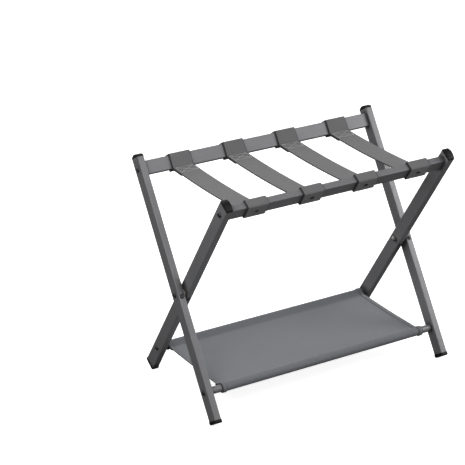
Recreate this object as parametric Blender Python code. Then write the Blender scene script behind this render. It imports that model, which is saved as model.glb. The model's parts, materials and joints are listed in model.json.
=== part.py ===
"""Folding luggage rack: two rectangular-tube frames crossed on a pivot, four webbing straps, a fabric shelf.

Units are metres. +Z is up, +X runs along the rails, -Y is the front. The origin is on the floor, midway
between the feet. The outer frame leans to the back as it rises and the inner frame leans to the front.
Each frame is built in its own axes, on an empty at the pivot: X along the rails, Z up the leg from the
pivot, and Y across the leg, towards the back.
"""
import math

import bmesh
import bpy
from mathutils import Matrix, Vector

# ---- Driving dimensions ----
RACK_WIDTH = 0.600            # outside to outside of the outer legs
LEG_LEAN = math.radians(33.0)  # each leg from the vertical, rack open
REACH_DOWN = 0.281            # pivot to the end of a foot cap
REACH_UP = 0.300              # pivot to the top end of a leg's tube
TUBE_WIDTH = 0.015            # rectangular tube, its narrow side
TUBE_DEPTH = 0.030            # rectangular tube, its wide side
TUBE_WALL = 0.0012
TUBE_CORNER = 0.0016          # outside corner radius of the rectangular tube
FRAME_GAP = 0.004             # between an outer leg and the inner leg beside it
RAIL_DROP = 0.025             # middle of a rail below the top end of the legs
BAR_RISE = 0.069              # middle of a lower bar above the leg's foot
BAR_DIAMETER = 0.016
BAR_WALL = 0.0012

CAP_HEAD = 0.005              # how far a foot cap stands out of its tube
CAP_EDGE = 0.003              # height of a top cap at the front and back of its crown
CAP_CROWN = 0.005             # how much higher a top cap is in its middle
CAP_PLUG = 0.013              # how far it reaches into the tube
FOOT_TRIM = 0.0022            # corner of the foot taken off by the flat sole

BOLT_DIAMETER = 0.006         # frame bolts and pivot bolts
BOLT_HEAD_DIAMETER = 0.0105
BOLT_HEAD_HEIGHT = 0.0030
SOCKET_ACROSS_FLATS = 0.004
FRAME_BOLT_GRIP = 0.018       # length of a frame bolt inside its plug
END_PLUG_LENGTH = 0.026       # plugs in the ends of the rails and bars
END_PLUG_INSET = 0.001
SPACER_DIAMETER = 0.020
NUT_ACROSS_FLATS = 0.010
NUT_HEX_HEIGHT = 0.0050
NUT_DOME_HEIGHT = 0.0042

BLOCK_LENGTH = 0.036          # bearing block inside a leg at the pivot
SCREW_DIAMETER = 0.004        # block screws and strap screws
SCREW_HEAD_DIAMETER = 0.0090
SCREW_HEAD_HEIGHT = 0.0024
SCREW_SOCKET_ACROSS_FLATS = 0.003
BLOCK_SCREW_LENGTH = 0.0085
OUTER_BLOCK_SCREW_DROP = 0.008  # below the pivot, along the leg
INNER_BLOCK_SCREW_DROP = 0.003

STRAP_COUNT = 4
STRAP_WIDTH = 0.050
STRAP_THICKNESS = 0.002
STRAP_SIDE_GAP = 0.066        # middle of the end straps to the inner legs
STRAP_TAIL = 0.034            # sewn tail under the level run
STRAP_SCREW_LENGTH = 0.008
STRAP_SCREW_RISE = 0.002      # above the middle of the rail

SHELF_SIDE_GAP = 0.008        # between the shelf and the inner legs
SHELF_THICKNESS = 0.001
SHELF_SEAM_GAP = 0.008        # sleeve seam from the bar it wraps
SHELF_TAIL = 0.008            # sewn tail under the shelf
SHELF_SAG = 0.005

CLEARANCE = 0.0003            # between pieces that touch
HOLE_CLEARANCE = 0.0003       # round a bolt or screw, on the radius
WEBBING_CLEARANCE = 0.0004    # between fabric and the tube it wraps
ROUND_SEGMENTS = 16
BAR_SEGMENTS = 48
SLEEVE_SEGMENTS = 24          # in the shelf's wrap round a bar
TUBE_CORNER_STEPS = 5
CAP_CORNER_STEPS = 3
CROWN_SEGMENTS = 10
# Across a top cap: share of its half width, how far its front and back tuck in, how far its crown drops.
CROWN_STATIONS = (
    (-1.0, 0.0016, 0.0006), (-0.94, 0.0005, 0.0001), (-0.80, 0.0, 0.0),
    (0.80, 0.0, 0.0), (0.94, 0.0005, 0.0001), (1.0, 0.0016, 0.0006),
)

# ---- Derived places ----
OUTER_LEG_X = RACK_WIDTH / 2 - TUBE_WIDTH / 2
INNER_LEG_X = OUTER_LEG_X - TUBE_WIDTH - FRAME_GAP
RAIL_REACH = REACH_UP - RAIL_DROP
BAR_REACH = REACH_DOWN - BAR_RISE
CLEAR_HALF_WIDTH = INNER_LEG_X - TUBE_WIDTH / 2
SHELF_WIDTH = 2 * (CLEAR_HALF_WIDTH - SHELF_SIDE_GAP)
STRAP_PITCH = 2 * (CLEAR_HALF_WIDTH - STRAP_SIDE_GAP) / (STRAP_COUNT - 1)
PIVOT_HEIGHT = REACH_DOWN * math.cos(LEG_LEAN) + TUBE_DEPTH / 2 * math.sin(LEG_LEAN) - FOOT_TRIM
HOLE_RADIUS = BOLT_DIAMETER / 2 + HOLE_CLEARANCE
SCREW_HOLE_RADIUS = SCREW_DIAMETER / 2 + HOLE_CLEARANCE
STRAP_OFFSET = WEBBING_CLEARANCE + STRAP_THICKNESS / 2
SLEEVE_RADIUS = BAR_DIAMETER / 2 + WEBBING_CLEARANCE + SHELF_THICKNESS / 2

# Each frame: name, middle of its legs in X, side it leans to at the top, drop of its block screws.
FRAMES = (
    ("outer", OUTER_LEG_X, 1, OUTER_BLOCK_SCREW_DROP),
    ("inner", INNER_LEG_X, -1, INNER_BLOCK_SCREW_DROP),
)
SIDES = (("left", -1), ("right", 1))
RAIL_NAMES = {"outer": "back_rail", "inner": "front_rail"}
BAR_NAMES = {"outer": "front_bar", "inner": "back_bar"}


# ---- Materials ----
def finish(name, color, roughness, metallic):
    material = bpy.data.materials.get(name) or bpy.data.materials.new(name)
    material.use_nodes = True
    shader = material.node_tree.nodes["Principled BSDF"]
    shader.inputs["Base Color"].default_value = (*color, 1.0)
    shader.inputs["Roughness"].default_value = roughness
    shader.inputs["Metallic"].default_value = metallic
    return material


def powder_coat():
    return finish("grey_powder_coat", (0.16, 0.16, 0.165), 0.45, 0.3)


def black_plastic():
    return finish("black_plastic", (0.018, 0.018, 0.018), 0.5, 0.0)


def inner_plastic():
    return finish("natural_nylon", (0.62, 0.60, 0.55), 0.55, 0.0)


def black_steel():
    return finish("blackened_steel", (0.035, 0.035, 0.037), 0.35, 0.9)


def bright_steel():
    return finish("zinc_steel", (0.60, 0.60, 0.58), 0.3, 1.0)


def webbing():
    return finish("grey_webbing", (0.19, 0.19, 0.195), 0.85, 0.0)


def shelf_cloth():
    return finish("grey_shelf_cloth", (0.19, 0.20, 0.205), 0.9, 0.0)


# ---- Mesh helpers ----
def add_object(name, bm, material, parent=None, matrix=None, smooth_angle=None):
    """Make an object from bm, placed by matrix in its parent's axes."""
    bmesh.ops.recalc_face_normals(bm, faces=bm.faces)
    mesh = bpy.data.meshes.new(name)
    bm.to_mesh(mesh)
    bm.free()
    if smooth_angle is not None:
        mesh.shade_smooth()
        mesh.set_sharp_from_angle(angle=math.radians(smooth_angle))
    if material is not None:
        mesh.materials.append(material)
    obj = bpy.data.objects.new(name, mesh)
    bpy.context.collection.objects.link(obj)
    obj.parent = parent
    if matrix is not None:
        obj.matrix_local = matrix
    return obj


def circle(radius, segments, start=0.0):
    step = 2 * math.pi / segments
    return [Vector((radius * math.cos(start + step * k), radius * math.sin(start + step * k)))
            for k in range(segments)]


def rounded_rectangle(width, depth, radius, steps=CAP_CORNER_STEPS):
    points = []
    for corner, (sx, sy) in enumerate(((1, 1), (-1, 1), (-1, -1), (1, -1))):
        middle = Vector((sx * (width / 2 - radius), sy * (depth / 2 - radius)))
        for k in range(steps + 1):
            angle = math.pi / 2 * (corner + k / steps)
            points.append(middle + Vector((radius * math.cos(angle), radius * math.sin(angle))))
    return points


def add_ring(bm, points, z):
    return [bm.verts.new((point.x, point.y, z)) for point in points]


def join_rings(bm, first, second):
    count = len(first)
    for k in range(count):
        following = (k + 1) % count
        bm.faces.new((first[k], first[following], second[following], second[k]))


def solid_of_rings(rings):
    """A solid along Z from (outline, height) pairs with equal point counts, closed at both ends."""
    bm = bmesh.new()
    loops = [add_ring(bm, points, z) for points, z in rings]
    for first, second in zip(loops, loops[1:]):
        join_rings(bm, first, second)
    bm.faces.new(loops[0])
    bm.faces.new(loops[-1])
    return bm


def sleeve_of_rings(outer, inner, bottom, top):
    """An open-ended tube along Z between two outlines with equal point counts."""
    bm = bmesh.new()
    loops = [add_ring(bm, outer, bottom), add_ring(bm, outer, top),
             add_ring(bm, inner, top), add_ring(bm, inner, bottom)]
    for k in range(4):
        join_rings(bm, loops[k], loops[(k + 1) % 4])
    return bm


def turned_solid(profile, segments):
    """A solid of revolution about Z through (radius, height) points, closed by flat ends."""
    return solid_of_rings([(circle(radius, segments), z) for radius, z in profile])


def ribbon(path, thickness, width):
    """A strip of even thickness along a (y, z) path, centred on X."""
    points = [Vector(point) for point in path]
    sides = []
    for k, point in enumerate(points):
        before = (point - points[k - 1]).normalized() if k > 0 else None
        after = (points[k + 1] - point).normalized() if k < len(points) - 1 else None
        heading = ((before or after) + (after or before)).normalized()
        normal = Vector((-heading.y, heading.x))
        mitre = normal.dot(Vector((-(after or before).y, (after or before).x)))
        sides.append((point + normal * thickness / 2 / mitre, point - normal * thickness / 2 / mitre))
    bm = bmesh.new()
    rings = []
    for upper, lower in sides:
        rings.append([bm.verts.new((x, spot.x, spot.y)) for x, spot in (
            (-width / 2, upper), (width / 2, upper), (width / 2, lower), (-width / 2, lower))])
    for first, second in zip(rings, rings[1:]):
        join_rings(bm, first, second)
    bm.faces.new(rings[0])
    bm.faces.new(rings[-1])
    return bm


def arc(middle, radius, start, end, segments):
    """Points of an arc in (y, z), from angle start to angle end."""
    return [(middle[0] + radius * math.cos(start + (end - start) * k / segments),
             middle[1] + radius * math.sin(start + (end - start) * k / segments))
            for k in range(segments + 1)]


def cut_with(obj, cutters, operation="DIFFERENCE"):
    for cutter in cutters:
        cutter.hide_render = True
        cutter.display_type = "WIRE"
        cut = obj.modifiers.new(cutter.name, "BOOLEAN")
        cut.operation = operation
        cut.object = cutter


def along_x(x=0.0, y=0.0, z=0.0, flip=False):
    """Placement that turns a piece's Z to +X, or to -X with flip."""
    turn = -math.pi / 2 if flip else math.pi / 2
    return Matrix.Translation((x, y, z)) @ Matrix.Rotation(turn, 4, "Y")


def along_y(x, y, z, towards):
    """Placement that turns a piece's Z to +Y or -Y."""
    return Matrix.Translation((x, y, z)) @ Matrix.Rotation(-towards * math.pi / 2, 4, "X")


def hole_cutter(name, radius, length, parent, matrix):
    bm = turned_solid(((radius, -length / 2), (radius, length / 2)), ROUND_SEGMENTS)
    return add_object(f"cut_{name}", bm, None, parent, matrix)


# ---- Fasteners ----
def bolt_mesh(diameter, length, head_diameter, head_height):
    """A button-head bolt: its seat at Z = 0, its shank down -Z."""
    head = head_diameter / 2
    shank = diameter / 2
    tip = 0.0006
    profile = (
        (shank - tip, -length), (shank, tip - length), (shank, 0.0), (head - 0.0003, 0.0),
        (head, 0.0004), (head * 0.94, head_height * 0.55), (head * 0.72, head_height * 0.9),
        (head * 0.48, head_height),
    )
    return turned_solid(profile, ROUND_SEGMENTS)


def add_bolt(name, diameter, length, head_diameter, head_height, socket, parent, matrix):
    bolt = add_object(name, bolt_mesh(diameter, length, head_diameter, head_height),
                      black_steel(), parent, matrix, smooth_angle=50)
    depth = head_height * 0.65
    hexagon = circle(socket / 2 / math.cos(math.pi / 6), 6)
    bm = solid_of_rings(((hexagon, head_height - depth), (hexagon, head_height + depth)))
    cut_with(bolt, [add_object(f"cut_{name}_socket", bm, None, parent, matrix)])
    return bolt


def add_frame_bolt(name, length, parent, matrix):
    return add_bolt(name, BOLT_DIAMETER, length, BOLT_HEAD_DIAMETER, BOLT_HEAD_HEIGHT,
                    SOCKET_ACROSS_FLATS, parent, matrix)


def add_screw(name, length, parent, matrix):
    return add_bolt(name, SCREW_DIAMETER, length, SCREW_HEAD_DIAMETER, SCREW_HEAD_HEIGHT,
                    SCREW_SOCKET_ACROSS_FLATS, parent, matrix)


def cap_nut_mesh():
    """A domed cap nut, its seat at Z = 0, with a blind bore for the end of the pivot bolt."""
    corner = NUT_ACROSS_FLATS / 2 / math.cos(math.pi / 6)
    flats = []
    for k in range(6):
        flats.append(circle(corner, 6)[k])
        flats.append((circle(corner, 6)[k] + circle(corner, 6)[(k + 1) % 6]) / 2)
    dome = NUT_ACROSS_FLATS / 2 * 0.86
    top = NUT_HEX_HEIGHT + NUT_DOME_HEIGHT
    rings = [(flats, 0.0), (flats, NUT_HEX_HEIGHT), (circle(dome, 12), NUT_HEX_HEIGHT + 0.0006),
             (circle(dome * 0.92, 12), NUT_HEX_HEIGHT + NUT_DOME_HEIGHT * 0.55),
             (circle(dome * 0.68, 12), top - 0.0008), (circle(dome * 0.3, 12), top)]
    bore = circle(HOLE_RADIUS, 12)
    rings = [(bore, NUT_HEX_HEIGHT), (bore, 0.0)] + rings
    return solid_of_rings(rings)


# ---- Frame pieces ----
def tube_outlines(width, depth):
    """The outside and inside outlines of rectangular tube."""
    bore = 2 * TUBE_WALL
    return (rounded_rectangle(width, depth, TUBE_CORNER, TUBE_CORNER_STEPS),
            rounded_rectangle(width - bore, depth - bore, TUBE_CORNER / 4, TUBE_CORNER_STEPS))


def leg_mesh():
    outer, inner = tube_outlines(TUBE_WIDTH, TUBE_DEPTH)
    return sleeve_of_rings(outer, inner, CAP_HEAD + CLEARANCE - REACH_DOWN, REACH_UP - CLEARANCE)


def cap_outline(inset):
    return rounded_rectangle(TUBE_WIDTH - 2 * inset, TUBE_DEPTH - 2 * inset, TUBE_CORNER - inset * 0.9)


def add_leg(frame_name, side_name, x, drop, parent):
    name = f"{frame_name}_leg_{side_name}"
    leg = add_object(name, leg_mesh(), powder_coat(), parent, Matrix.Translation((x, 0, 0)),
                     smooth_angle=40)
    through = TUBE_WIDTH * 2
    cutters = [hole_cutter(f"{name}_{place}", HOLE_RADIUS, through, parent, along_x(x, 0, z))
               for place, z in (("pivot", 0.0), ("rail", RAIL_REACH), ("bar", -BAR_REACH))]
    cutters.append(hole_cutter(f"{name}_screw", SCREW_HOLE_RADIUS, TUBE_WALL * 4, parent,
                               along_y(x, -TUBE_DEPTH / 2, -drop, -1)))
    cut_with(leg, cutters)
    return leg


def cap_rings(steps, sign, start):
    """Rings of an end cap's head: (inset, share of its height) pairs above the tube's end."""
    return [(cap_outline(inset), start + sign * CAP_HEAD * share) for inset, share in steps]


def plug_outline():
    inset = TUBE_WALL + CLEARANCE
    return rounded_rectangle(TUBE_WIDTH - 2 * inset, TUBE_DEPTH - 2 * inset, TUBE_CORNER / 2)


def crown_profile(half_depth, drop):
    """A top cap's side view in (y, z) above the tube's end, its crown lowered by drop."""
    points = [(-half_depth, 0.0)]
    for k in range(CROWN_SEGMENTS + 1):
        share = 2 * k / CROWN_SEGMENTS - 1
        points.append((share * half_depth, CAP_EDGE + CAP_CROWN * (1 - share * share) - drop))
    points.append((half_depth, 0.0))
    return points


def add_top_cap(frame_name, side_name, x, parent):
    """A moulded cap: a plug in the tube and a head crowned from front to back."""
    bm = bmesh.new()
    rings = []
    for share, tuck, drop in CROWN_STATIONS:
        profile = crown_profile(TUBE_DEPTH / 2 - tuck, drop)
        rings.append([bm.verts.new((share * TUBE_WIDTH / 2, y, REACH_UP + z)) for y, z in profile])
    for first, second in zip(rings, rings[1:]):
        join_rings(bm, first, second)
    bm.faces.new(rings[0])
    bm.faces.new(rings[-1])
    bmesh.ops.recalc_face_normals(bm, faces=bm.faces)
    name = f"top_cap_{frame_name}_{side_name}"
    placement = Matrix.Translation((x, 0, 0))
    cap = add_object(name, bm, black_plastic(), parent, placement, smooth_angle=35)
    plug = solid_of_rings(((plug_outline(), REACH_UP - CAP_PLUG), (plug_outline(), REACH_UP + CAP_EDGE / 2)))
    cut_with(cap, [add_object(f"cut_{name}_plug", plug, None, parent, placement)], "UNION")
    return cap


def add_foot_cap(frame_name, side_name, x, lean, parent):
    seat = CAP_HEAD - REACH_DOWN
    boot = ((0.0, 0.0), (0.0, 0.42), (0.0004, 0.66), (0.0012, 0.86))
    rings = [(plug_outline(), seat + CAP_PLUG), (plug_outline(), seat)]
    rings += cap_rings(boot, -1, seat)
    rings += [(rounded_rectangle(TUBE_WIDTH - 0.0050, TUBE_DEPTH - 0.0056, 0.0018), seat - CAP_HEAD)]
    bm = solid_of_rings(rings)
    down = Vector((0.0, lean * math.sin(LEG_LEAN), -math.cos(LEG_LEAN)))
    cut = bmesh.ops.bisect_plane(bm, geom=bm.verts[:] + bm.edges[:] + bm.faces[:], dist=1e-7,
                                 plane_co=down * PIVOT_HEIGHT, plane_no=down, clear_outer=True)
    rim = [item for item in cut["geom_cut"] if isinstance(item, bmesh.types.BMEdge)]
    bmesh.ops.edgeloop_fill(bm, edges=rim)
    return add_object(f"foot_cap_{frame_name}_{side_name}", bm, black_plastic(), parent,
                      Matrix.Translation((x, 0, 0)), smooth_angle=35)


def add_bearing_block(frame_name, side_name, x, drop, parent):
    """The block inside a leg that the pivot bolt runs through and the block screw holds."""
    name = f"bearing_block_{frame_name}_{side_name}"
    outline = plug_outline()
    bm = solid_of_rings(((outline, -BLOCK_LENGTH / 2 - drop / 2), (outline, BLOCK_LENGTH / 2 - drop / 2)))
    block = add_object(name, bm, inner_plastic(), parent, Matrix.Translation((x, 0, 0)), smooth_angle=40)
    shank = BLOCK_SCREW_LENGTH + CLEARANCE
    screw_hole = hole_cutter(f"{name}_screw", SCREW_HOLE_RADIUS, shank * 2, parent,
                             along_y(x, -TUBE_DEPTH / 2, -drop, -1))
    pivot_hole = hole_cutter(f"{name}_pivot", HOLE_RADIUS, TUBE_WIDTH * 2, parent, along_x(x, 0, 0))
    cut_with(block, [screw_hole, pivot_hole])
    return block


def add_block_screw(frame_name, side_name, x, drop, parent):
    return add_screw(f"block_screw_{frame_name}_{side_name}", BLOCK_SCREW_LENGTH, parent,
                     along_y(x, -TUBE_DEPTH / 2 - CLEARANCE, -drop, -1))


def inner_face_x(leg_x):
    return leg_x - TUBE_WIDTH / 2


def add_rail(frame_name, leg_x, lean, parent):
    """The top rail, screwed between its frame's legs; its mesh runs along local Z, turned to X."""
    length = 2 * (inner_face_x(leg_x) - CLEARANCE)
    outer, inner = tube_outlines(TUBE_DEPTH, TUBE_WIDTH)
    name = RAIL_NAMES[frame_name]
    rail = add_object(name, sleeve_of_rings(outer, inner, -length / 2, length / 2), powder_coat(),
                      parent, along_x(0, 0, RAIL_REACH), smooth_angle=40)
    cutters = [hole_cutter(f"{name}_{k}", SCREW_HOLE_RADIUS, TUBE_WALL * 4, parent,
                           along_y(x, lean * TUBE_WIDTH / 2, RAIL_REACH + STRAP_SCREW_RISE, lean))
               for k, x in enumerate(strap_places())]
    cut_with(rail, cutters)
    return rail


def add_bar(frame_name, leg_x, parent):
    length = 2 * (inner_face_x(leg_x) - CLEARANCE)
    radius = BAR_DIAMETER / 2
    bm = sleeve_of_rings(circle(radius, BAR_SEGMENTS), circle(radius - BAR_WALL, BAR_SEGMENTS),
                         -length / 2, length / 2)
    return add_object(BAR_NAMES[frame_name], bm, powder_coat(), parent, along_x(0, 0, -BAR_REACH),
                      smooth_angle=40)


def add_end_plug(name, outline, leg_x, side, z, parent):
    """A threaded plug inside the end of a rail or bar."""
    start = inner_face_x(leg_x) - CLEARANCE - END_PLUG_INSET
    bore = circle(HOLE_RADIUS, len(outline), start=outline_start(outline))
    bm = sleeve_of_rings(outline, bore, -END_PLUG_LENGTH, 0.0)
    return add_object(name, bm, inner_plastic(), parent, along_x(side * start, 0, z, flip=side < 0),
                      smooth_angle=40)


def outline_start(outline):
    return math.atan2(outline[0].y, outline[0].x)


def rail_plug_outline():
    inset = TUBE_WALL + CLEARANCE
    return rounded_rectangle(TUBE_DEPTH - 2 * inset, TUBE_WIDTH - 2 * inset, TUBE_CORNER / 2)


def bar_plug_outline():
    return circle(BAR_DIAMETER / 2 - BAR_WALL - CLEARANCE, ROUND_SEGMENTS)


def add_cross_member_fixings(frame_name, side_name, side, leg_x, parent):
    seat = leg_x + TUBE_WIDTH / 2 + CLEARANCE
    shank = TUBE_WIDTH + 3 * CLEARANCE + END_PLUG_INSET + FRAME_BOLT_GRIP
    for place, z, outline in (("rail", RAIL_REACH, rail_plug_outline()),
                              ("bar", -BAR_REACH, bar_plug_outline())):
        add_end_plug(f"{place}_plug_{frame_name}_{side_name}", outline, leg_x, side, z, parent)
        add_frame_bolt(f"{place}_bolt_{frame_name}_{side_name}", shank, parent,
                       along_x(side * seat, 0, z, flip=side < 0))


def add_frame(name, leg_x, lean, drop):
    """All that is fixed to one frame, in the frame's own axes on an empty at the pivot."""
    frame = bpy.data.objects.new(f"{name}_frame", None)
    bpy.context.collection.objects.link(frame)
    frame.location = (0, 0, PIVOT_HEIGHT)
    frame.rotation_euler = (-lean * LEG_LEAN, 0, 0)
    for side_name, side in SIDES:
        x = side * leg_x
        add_leg(name, side_name, x, drop, frame)
        add_top_cap(name, side_name, x, frame)
        add_foot_cap(name, side_name, x, lean, frame)
        add_bearing_block(name, side_name, x, drop, frame)
        add_block_screw(name, side_name, x, drop, frame)
        add_cross_member_fixings(name, side_name, side, leg_x, frame)
    add_rail(name, leg_x, lean, frame)
    add_bar(name, leg_x, frame)
    return frame


def add_pivot(side_name, side, frame):
    """The pivot bolt from the outside, the spacer between the legs and the cap nut on the inside."""
    seat = OUTER_LEG_X + TUBE_WIDTH / 2 + CLEARANCE
    nut_seat = INNER_LEG_X - TUBE_WIDTH / 2 - CLEARANCE
    reach = seat - nut_seat + NUT_HEX_HEIGHT - 2 * CLEARANCE
    add_frame_bolt(f"pivot_bolt_{side_name}", reach, frame, along_x(side * seat, 0, 0, flip=side < 0))
    add_object(f"pivot_nut_{side_name}", cap_nut_mesh(), bright_steel(), frame,
               along_x(side * nut_seat, 0, 0, flip=side > 0), smooth_angle=35)
    half = FRAME_GAP / 2 - CLEARANCE
    bm = sleeve_of_rings(circle(SPACER_DIAMETER / 2, ROUND_SEGMENTS), circle(HOLE_RADIUS, ROUND_SEGMENTS),
                         -half, half)
    middle = OUTER_LEG_X - TUBE_WIDTH / 2 - FRAME_GAP / 2
    add_object(f"pivot_spacer_{side_name}", bm, inner_plastic(), frame, along_x(side * middle, 0, 0),
               smooth_angle=40)


# ---- Straps ----
def strap_places():
    middle = (STRAP_COUNT - 1) / 2
    return [(k - middle) * STRAP_PITCH for k in range(STRAP_COUNT)]


def rail_point(side, across, along):
    """(y, z) in the rack's axes of a point on a leg: along it from the pivot, across it to the inside."""
    return (side * (along * math.sin(LEG_LEAN) - across * math.cos(LEG_LEAN)),
            PIVOT_HEIGHT + along * math.cos(LEG_LEAN) + across * math.sin(LEG_LEAN))


def strap_end(side):
    """Half of a strap's path: tail end, under the rail, up its outer face, over and down, to the run."""
    reach = TUBE_WIDTH / 2 + STRAP_OFFSET
    bottom = RAIL_REACH - TUBE_DEPTH / 2 - STRAP_OFFSET
    top = RAIL_REACH + TUBE_DEPTH / 2 + STRAP_OFFSET
    edge = rail_point(side, TUBE_WIDTH / 2, RAIL_REACH - TUBE_DEPTH / 2)
    run = edge[1] + STRAP_OFFSET / 2 + CLEARANCE
    tail = run - STRAP_THICKNESS - CLEARANCE
    tail_across = (tail - PIVOT_HEIGHT - bottom * math.cos(LEG_LEAN)) / math.sin(LEG_LEAN)
    run_along = (run - PIVOT_HEIGHT - reach * math.sin(LEG_LEAN)) / math.cos(LEG_LEAN)
    tail_bend = rail_point(side, tail_across, bottom)
    return [
        (tail_bend[0] - side * STRAP_TAIL, tail),
        tail_bend,
        rail_point(side, -reach, bottom),
        rail_point(side, -reach, top),
        rail_point(side, reach, top),
        rail_point(side, reach, run_along),
    ]


def add_strap(number, x):
    path = strap_end(1) + list(reversed(strap_end(-1)))
    name = f"strap_{number}"
    strap = add_object(name, ribbon(path, STRAP_THICKNESS, STRAP_WIDTH), webbing(),
                       matrix=Matrix.Translation((x, 0, 0)))
    cutters = []
    for side, place in ((1, "back"), (-1, "front")):
        screw = strap_screw_matrix(x, side)
        cutters.append(hole_cutter(f"{name}_{place}", SCREW_HOLE_RADIUS, STRAP_THICKNESS * 3, None, screw))
    cut_with(strap, cutters)
    return strap


def strap_screw_matrix(x, side):
    """Placement of a strap screw: its seat on the webbing over the rail's outer face."""
    across = -(TUBE_WIDTH / 2 + WEBBING_CLEARANCE + STRAP_THICKNESS + CLEARANCE)
    y, z = rail_point(side, across, RAIL_REACH + STRAP_SCREW_RISE)
    outward = Vector((0, side * math.cos(LEG_LEAN), -math.sin(LEG_LEAN)))
    turn = outward.to_track_quat("Z", "Y").to_matrix().to_4x4()
    return Matrix.Translation((x, y, z)) @ turn


def add_strap_screws(number, x, frames):
    for side, place in ((1, "back"), (-1, "front")):
        frame = frames["outer" if side > 0 else "inner"]
        bpy.context.view_layer.update()
        matrix = frame.matrix_world.inverted() @ strap_screw_matrix(x, side)
        add_screw(f"strap_screw_{place}_{number}", STRAP_SCREW_LENGTH, frame, matrix)


# ---- Shelf ----
def shelf_path():
    """The shelf's path: it leaves a seam, wraps the front bar, runs level, wraps the back bar."""
    bar_y, bar_z = rail_point(-1, 0.0, -BAR_REACH)
    inset = BAR_DIAMETER / 2 + SHELF_SEAM_GAP
    seam = bar_y - inset
    gap = (SHELF_THICKNESS + CLEARANCE) / 2
    tangent = math.acos(SLEEVE_RADIUS / inset)
    start = math.pi - tangent
    wrap = arc((bar_y, bar_z), SLEEVE_RADIUS, start, tangent - math.pi, SLEEVE_SEGMENTS)
    steps = 7
    level = []
    for k in range(steps + 1):
        share = 2 * k / steps - 1
        level.append((share * seam, bar_z + gap - SHELF_SAG * (1 - share * share)))
    back = level[-1:] + wrap + [(seam, bar_z - gap), (seam - SHELF_TAIL, bar_z - gap)]
    drop = level[-2][1] - level[-1][1]
    run = level[-1][0] - level[-2][0]
    back[-1] = (back[-1][0], back[-1][1] + drop / run * SHELF_TAIL)
    front = [(-y, z) for y, z in reversed(back)]
    return front[:-1] + level + back[1:]


def add_shelf():
    return add_object("shelf", ribbon(shelf_path(), SHELF_THICKNESS, SHELF_WIDTH), shelf_cloth())


# ---- Assembly ----
def clear_scene():
    for obj in list(bpy.data.objects):
        bpy.data.objects.remove(obj, do_unlink=True)


def main():
    clear_scene()
    frames = {name: add_frame(name, leg_x, lean, drop) for name, leg_x, lean, drop in FRAMES}
    for side_name, side in SIDES:
        add_pivot(side_name, side, frames["outer"])
    for number, x in enumerate(strap_places(), start=1):
        add_strap(number, x)
        add_strap_screws(number, x, frames)
    add_shelf()


main()
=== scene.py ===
"""Looks of the folding luggage rack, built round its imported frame. Metres, +Z up, -Y is the front."""
import json
import math

import bmesh
import bpy
from mathutils import Matrix, Vector, noise


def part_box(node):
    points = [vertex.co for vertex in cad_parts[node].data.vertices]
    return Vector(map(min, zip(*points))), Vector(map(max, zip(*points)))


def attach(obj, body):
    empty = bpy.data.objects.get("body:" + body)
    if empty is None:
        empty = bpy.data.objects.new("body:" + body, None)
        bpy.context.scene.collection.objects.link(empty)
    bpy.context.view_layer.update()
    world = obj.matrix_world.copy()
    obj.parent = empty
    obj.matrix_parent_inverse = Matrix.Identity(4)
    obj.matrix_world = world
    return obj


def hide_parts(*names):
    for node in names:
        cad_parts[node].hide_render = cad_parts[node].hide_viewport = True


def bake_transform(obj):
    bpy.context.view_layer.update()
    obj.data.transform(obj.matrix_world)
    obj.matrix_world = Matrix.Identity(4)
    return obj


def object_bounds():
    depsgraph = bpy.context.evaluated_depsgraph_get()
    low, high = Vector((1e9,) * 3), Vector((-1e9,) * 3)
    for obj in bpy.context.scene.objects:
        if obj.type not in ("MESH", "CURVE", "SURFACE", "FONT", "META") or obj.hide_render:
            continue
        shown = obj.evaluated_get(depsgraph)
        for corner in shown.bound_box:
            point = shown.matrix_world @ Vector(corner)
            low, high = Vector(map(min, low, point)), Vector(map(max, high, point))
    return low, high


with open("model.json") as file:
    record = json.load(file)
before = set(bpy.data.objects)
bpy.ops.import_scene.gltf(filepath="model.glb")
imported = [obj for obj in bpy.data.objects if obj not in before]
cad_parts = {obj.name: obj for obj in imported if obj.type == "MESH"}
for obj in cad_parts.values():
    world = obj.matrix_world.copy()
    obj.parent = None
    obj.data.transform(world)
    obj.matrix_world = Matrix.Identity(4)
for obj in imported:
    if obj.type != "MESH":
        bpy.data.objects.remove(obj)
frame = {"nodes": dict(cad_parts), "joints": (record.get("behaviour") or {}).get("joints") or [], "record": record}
cad_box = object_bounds()

# ---- Sizes ----
FINE = 48                      # points round a turned piece

TUBE_DEPTH = 0.030             # wide side of the rectangular tube
TUBE_CORNER = 0.0016

CAP_CROWN = 0.005              # rise of a top cap from its ends to its middle
CAP_EDGE = 0.003               # height of a top cap's ends above the tube
CAP_SOFT = 0.0011              # rounding of a top cap's long edges
CAP_HEAD = 0.005               # how far a foot cap stands out of its tube
CAP_PLUG = 0.013               # how far a cap goes into its tube
PLUG_SLACK = 0.003             # the plug is this much narrower than the tube
PLUG_CORNER = 0.0008
BOOT_WALL = 0.0009             # a foot cap's wall outside the tube
BOOT_FIT = 0.0001              # between that wall and the tube
BOOT_LAP = 0.0028              # how far it laps up the tube
BOOT_SWELL = 0.0021            # how far it rounds in towards its sole

FRAME_BOLT = {"head": 0.0105, "height": 0.0030, "socket": 0.0040, "shank": 0.0060}
SMALL_SCREW = {"head": 0.0090, "height": 0.0024, "socket": 0.0030, "shank": 0.0040}
HEAD_RIM = 0.0006              # straight rim under a button head's dome
NUT_ACROSS_FLATS = 0.010
NUT_HEX_HEIGHT = 0.0050
NUT_DOME = 0.0037
NUT_BORE_RADIUS = 0.0033

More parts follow.
